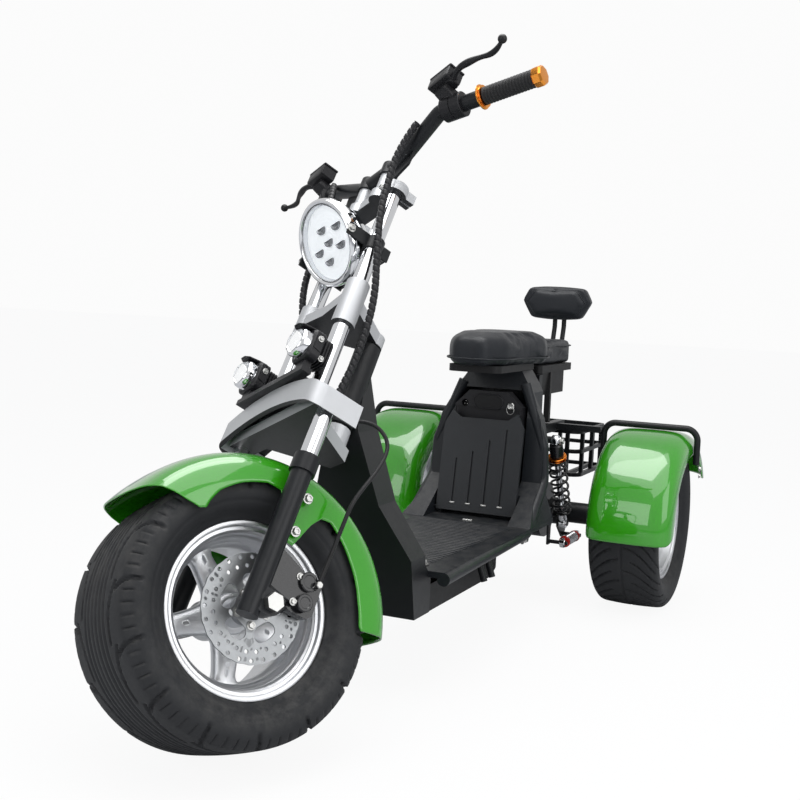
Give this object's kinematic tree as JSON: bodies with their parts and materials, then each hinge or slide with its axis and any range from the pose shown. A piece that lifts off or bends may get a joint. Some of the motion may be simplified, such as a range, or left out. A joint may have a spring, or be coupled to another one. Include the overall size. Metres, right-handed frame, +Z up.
{
  "type": "electric tricycle",
  "caption": "Electric tricycle with one fat steered front wheel on a long raked fork, a step-through floor, a battery seat with second seat and backrest, rear mudguards and a rear basket.",
  "frame": {"origin": "centre of the bounding box on the ground plane on which the tyres stand", "axes": "+X forward, +Y to the rider's left, +Z up"},
  "size_m": [1.9209, 0.9006, 1.2279],
  "materials": {
    "black_paint": "satin black",
    "chrome": "polished",
    "silver_cast": "satin silver",
    "steel": "ground",
    "rubber": "matt",
    "black_plastic": "grained",
    "lamp_glass": "clear",
    "guard_paint": "gloss green",
    "body_gloss": "gloss black",
    "tyre": "matt",
    "seat_leather": "grained",
    "spring": "bright"
  },
  "bodies": {
    "body": {"axle_damper_left": "spring", "axle_damper_right": "spring", "back_pad": "seat_leather", "back_posts": "black_paint", "battery_pack": "black_plastic", "battery_pan": "black_plastic", "body_shell": "body_gloss", "foot_bracket": "black_paint", "guard_hoop_left": "black_paint", "guard_hoop_right": "black_paint", "luggage_basket": "black_paint", "main_frame": "black_paint", "pillion_pad": "seat_leather", "rear_axle": "black_paint", "rear_box": "black_plastic", "rear_mudguard_left": "guard_paint", "rear_mudguard_right": "guard_paint", "saddle": "seat_leather", "saddle_pan": "black_plastic", "shock_left": "spring", "shock_right": "spring", "swing_arm": "black_paint"},
    "steering": {"fork_leg_left": "black_paint", "fork_leg_right": "black_paint", "fork_tube_left": "chrome", "fork_tube_right": "chrome", "upper_tube_left": "chrome", "upper_tube_right": "chrome", "front_axle": "steel", "lower_yoke": "silver_cast", "middle_yoke": "silver_cast", "top_yoke": "silver_cast", "handlebar": "black_paint", "grip_left": "rubber", "grip_right": "rubber", "lever_perch_left": "black_plastic", "lever_perch_right": "black_plastic", "headlight": "chrome", "headlight_lens": "lamp_glass", "lamp_bracket": "black_paint", "spot_lamp_left": "black_plastic", "spot_lamp_right": "black_plastic", "spot_bar": "black_paint", "front_mudguard": "guard_paint", "brake_caliper": "black_paint", "brake_hose": "rubber", "loom_left": "rubber", "loom_right": "rubber"},
    "front_wheel": {"front_tyre": "tyre", "front_rim": "silver_cast", "brake_disc": "steel"},
    "rear_left_wheel": {"rear_left_tyre": "tyre", "rear_left_rim": "silver_cast"},
    "rear_right_wheel": {"rear_right_tyre": "tyre", "rear_right_rim": "silver_cast"},
    "battery_door": {"battery_door": "body_gloss"}
  },
  "joints": [
    {"name": "steering_turn", "type": "hinge", "parent": "body", "child": "steering", "pos_m": [0.37207, 0, 0.58833], "axis": [-0.6157, 0, 0.788], "range_deg": [-3, 73]},
    {"name": "front_wheel_spin", "type": "hinge", "parent": "steering", "child": "front_wheel", "pos_m": [0.72831, -0.04302, 0.23215], "axis": [0.452, 0.8192, 0.3531], "continuous": true},
    {"name": "rear_left_spin", "type": "hinge", "parent": "body", "child": "rear_left_wheel", "pos_m": [-0.661, 0.315, 0.214], "axis": [0, 1, 0], "continuous": true},
    {"name": "rear_right_spin", "type": "hinge", "parent": "body", "child": "rear_right_wheel", "pos_m": [-0.661, -0.315, 0.214], "axis": [0, 1, 0], "continuous": true},
    {"name": "battery_door_turn", "type": "hinge", "parent": "body", "child": "battery_door", "pos_m": [-0.29557, 0, 0.25867], "axis": [0, 1, 0], "range_deg": [0, 75]}
  ]
}
